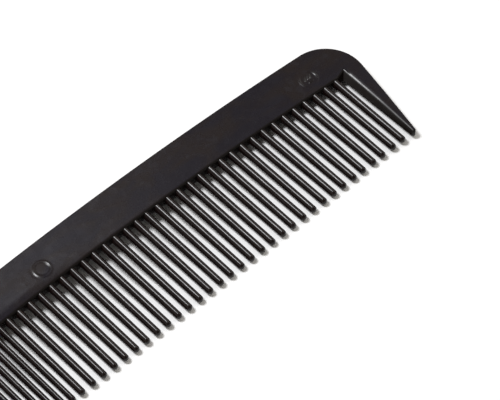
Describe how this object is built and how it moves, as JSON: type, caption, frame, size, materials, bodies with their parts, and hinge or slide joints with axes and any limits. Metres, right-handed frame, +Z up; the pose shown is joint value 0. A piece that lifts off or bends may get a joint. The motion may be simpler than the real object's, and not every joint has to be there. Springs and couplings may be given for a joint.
{
  "type": "pocket comb",
  "caption": "Flat moulded pocket comb: arched spine with rounded corners, broad tapered guard teeth at both ends, a coarse run of straight teeth and a finer run.",
  "frame": {"origin": "middle of the comb's footprint, on the surface its underside lies on", "axes": "+X along the comb towards its coarse end, -Y towards the tooth tips, +Z up out of the upper face"},
  "size_m": [0.1334, 0.029, 0.0024],
  "materials": {
    "satin_black_plastic": "satin moulded faces with faint flow marks",
    "polished_black_plastic": "smooth, semi-gloss, rounded teeth"
  },
  "bodies": {
    "root": {"spine": "satin_black_plastic", "coarse_end_guard_tooth": "satin_black_plastic", "fine_end_guard_tooth": "satin_black_plastic", "coarse_tooth_01": "polished_black_plastic", "coarse_tooth_02": "polished_black_plastic", "coarse_tooth_03": "polished_black_plastic", "coarse_tooth_04": "polished_black_plastic", "coarse_tooth_05": "polished_black_plastic", "coarse_tooth_06": "polished_black_plastic", "coarse_tooth_07": "polished_black_plastic", "coarse_tooth_08": "polished_black_plastic", "coarse_tooth_09": "polished_black_plastic", "coarse_tooth_10": "polished_black_plastic", "coarse_tooth_11": "polished_black_plastic", "coarse_tooth_12": "polished_black_plastic", "coarse_tooth_13": "polished_black_plastic", "coarse_tooth_14": "polished_black_plastic", "coarse_tooth_15": "polished_black_plastic", "coarse_tooth_16": "polished_black_plastic", "coarse_tooth_17": "polished_black_plastic", "coarse_tooth_18": "polished_black_plastic", "coarse_tooth_19": "polished_black_plastic", "coarse_tooth_20": "polished_black_plastic", "coarse_tooth_21": "polished_black_plastic", "coarse_tooth_22": "polished_black_plastic", "coarse_tooth_23": "polished_black_plastic", "coarse_tooth_24": "polished_black_plastic", "coarse_tooth_25": "polished_black_plastic", "coarse_tooth_26": "polished_black_plastic", "coarse_tooth_27": "polished_black_plastic", "coarse_tooth_28": "polished_black_plastic", "coarse_tooth_29": "polished_black_plastic", "coarse_tooth_30": "polished_black_plastic", "coarse_tooth_31": "polished_black_plastic", "coarse_tooth_32": "polished_black_plastic", "fine_tooth_01": "polished_black_plastic", "fine_tooth_02": "polished_black_plastic", "fine_tooth_03": "polished_black_plastic", "fine_tooth_04": "polished_black_plastic", "fine_tooth_05": "polished_black_plastic", "fine_tooth_06": "polished_black_plastic", "fine_tooth_07": "polished_black_plastic", "fine_tooth_08": "polished_black_plastic", "fine_tooth_09": "polished_black_plastic", "fine_tooth_10": "polished_black_plastic", "fine_tooth_11": "polished_black_plastic", "fine_tooth_12": "polished_black_plastic", "fine_tooth_13": "polished_black_plastic", "fine_tooth_14": "polished_black_plastic", "fine_tooth_15": "polished_black_plastic", "fine_tooth_16": "polished_black_plastic", "fine_tooth_17": "polished_black_plastic", "fine_tooth_18": "polished_black_plastic", "fine_tooth_19": "polished_black_plastic", "fine_tooth_20": "polished_black_plastic", "fine_tooth_21": "polished_black_plastic", "fine_tooth_22": "polished_black_plastic", "fine_tooth_23": "polished_black_plastic", "fine_tooth_24": "polished_black_plastic", "fine_tooth_25": "polished_black_plastic"}
  },
  "joints": []
}
